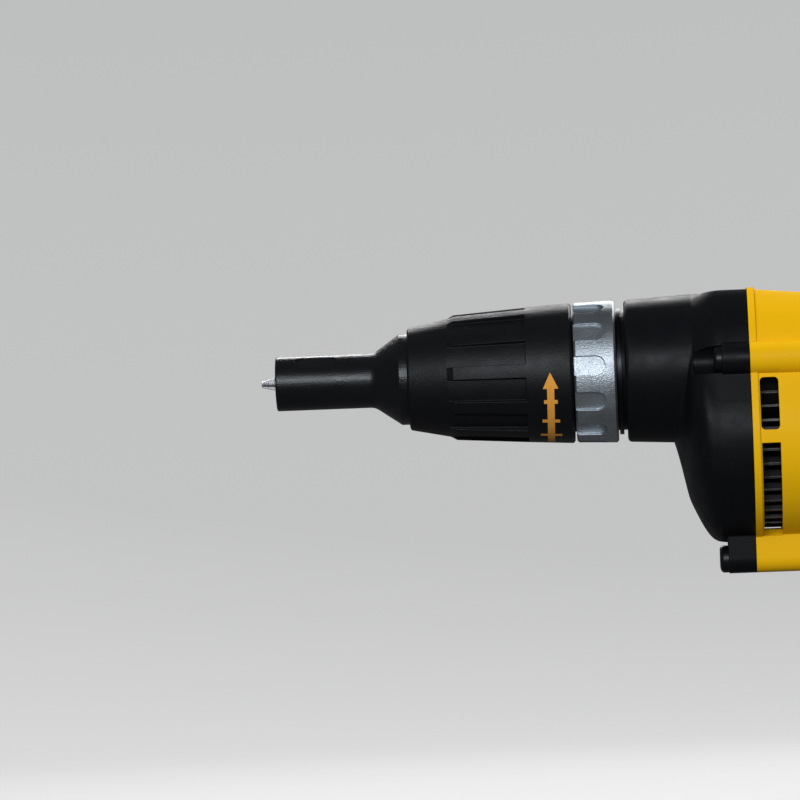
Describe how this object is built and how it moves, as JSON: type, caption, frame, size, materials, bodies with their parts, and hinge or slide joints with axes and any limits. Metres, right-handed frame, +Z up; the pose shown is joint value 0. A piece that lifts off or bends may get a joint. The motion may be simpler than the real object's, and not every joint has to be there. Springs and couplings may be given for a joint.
{
  "type": "drywall screwdriver",
  "caption": "Corded pistol-grip drywall screwdriver with a ribbed depth-setting nose sleeve, lock collar, gear case and offset motor.",
  "frame": {"origin": "centre of the nosepiece's front face, on the spindle axis", "axes": "+X along the spindle from the nose to the handle, +Z up from the motor to the spindle, +Y to the right-hand half; the picture looks along +Y"},
  "size_m": [0.3101, 0.067, 0.1902],
  "materials": {
    "nose_plastic": "moulded black, slightly glossy",
    "sleeve_plastic": "moulded black with fine texture",
    "collar_metal": "light grey cast finish",
    "case_metal": "black coated casting",
    "housing_plastic": "yellow moulded plastic",
    "grip_rubber": "soft black rubber",
    "control_plastic": "black moulded plastic",
    "seal_rubber": "black rubber",
    "steel": "bright steel",
    "dark_steel": "black oxide steel",
    "laminations": "stacked steel sheet",
    "copper": "copper",
    "bronze": "sintered bronze",
    "plate_metal": "cast",
    "fan_plastic": "pale grey moulded plastic",
    "carbon": "pressed carbon"
  },
  "bodies": {
    "housing": {"sleeve_snap_ring": "steel", "sleeve_o_ring": "seal_rubber", "collar_ring": "steel", "gear_case": "case_metal", "gear_case_screws": "dark_steel", "spindle_bush": "bronze", "spindle_seal": "seal_rubber", "thrust_washer": "steel", "spindle_tail_bush": "bronze", "bearing_plate": "plate_metal", "front_bearing_outer": "steel", "rear_bearing_outer": "steel", "bearing_boot": "seal_rubber", "stator_core": "laminations", "field_coils": "copper", "fan_baffle": "control_plastic", "carbon_brushes": "carbon", "brush_holders": "bronze", "brush_springs": "steel", "housing_left": "housing_plastic", "housing_right": "housing_plastic", "grip_left": "grip_rubber", "grip_right": "grip_rubber", "housing_screws": "dark_steel", "switch_body": "control_plastic", "cord_gland": "grip_rubber"},
    "nosepiece": {"nosepiece": "nose_plastic"},
    "depth_sleeve": {"depth_sleeve": "sleeve_plastic"},
    "lock_collar": {"lock_collar": "collar_metal"},
    "drive_gear": {"drive_gear": "steel"},
    "spindle": {"spindle": "steel", "clutch_jaw": "steel", "clutch_spring": "steel", "bit_holder": "steel", "bit_magnet": "dark_steel", "screwdriver_bit": "steel"},
    "armature": {"armature_shaft": "steel", "armature_core": "laminations", "armature_windings": "copper", "commutator": "copper", "cooling_fan": "fan_plastic", "front_bearing_inner": "steel", "rear_bearing_inner": "steel"},
    "trigger": {"trigger": "control_plastic"},
    "lock_button": {"lock_button": "control_plastic"},
    "reversing_lever": {"reversing_lever": "control_plastic"}
  },
  "joints": [
    {"name": "sleeve_turn", "type": "hinge", "parent": "housing", "child": "depth_sleeve", "pos_m": [0.066, 0, 0], "axis": [1, 0, 0], "range_deg": [-270, 270]},
    {"name": "nosepiece_slide", "type": "slide", "parent": "housing", "child": "nosepiece", "axis": [1, 0, 0], "range_m": [-0.003, 0.003]},
    {"name": "collar_turn", "type": "hinge", "parent": "housing", "child": "lock_collar", "pos_m": [0.099, 0, 0], "axis": [1, 0, 0], "range_deg": [0, 30]},
    {"name": "armature_spin", "type": "hinge", "parent": "housing", "child": "armature", "pos_m": [0.185, 0, -0.0212], "axis": [1, 0, 0], "continuous": true},
    {"name": "gear_spin", "type": "hinge", "parent": "housing", "child": "drive_gear", "pos_m": [0.133, 0, 0], "axis": [1, 0, 0], "continuous": true},
    {"name": "spindle_push", "type": "slide", "parent": "drive_gear", "child": "spindle", "axis": [1, 0, 0], "range_m": [0, 0.003], "stiffness_N_per_m": 3000, "springref_m": -0.002, "deforming": ["clutch_spring"]},
    {"name": "trigger_pull", "type": "slide", "parent": "housing", "child": "trigger", "axis": [1, 0, 0], "range_m": [0, 0.006], "stiffness_N_per_m": 1000, "springref_m": -0.004},
    {"name": "lock_button_press", "type": "slide", "parent": "housing", "child": "lock_button", "axis": [0, 1, 0], "range_m": [0, 0.002], "stiffness_N_per_m": 800, "springref_m": -0.002},
    {"name": "reversing_lever_swing", "type": "hinge", "parent": "housing", "child": "reversing_lever", "pos_m": [0.262, 0, -0.0586], "axis": [0, 0, 1], "range_deg": [-12, 12]}
  ],
  "couplings": [
    {"joint": "gear_spin", "follows": "armature_spin", "ratio": -0.17778},
    {"joint": "nosepiece_slide", "follows": "sleeve_turn", "m_per_rad": 0.000636}
  ]
}
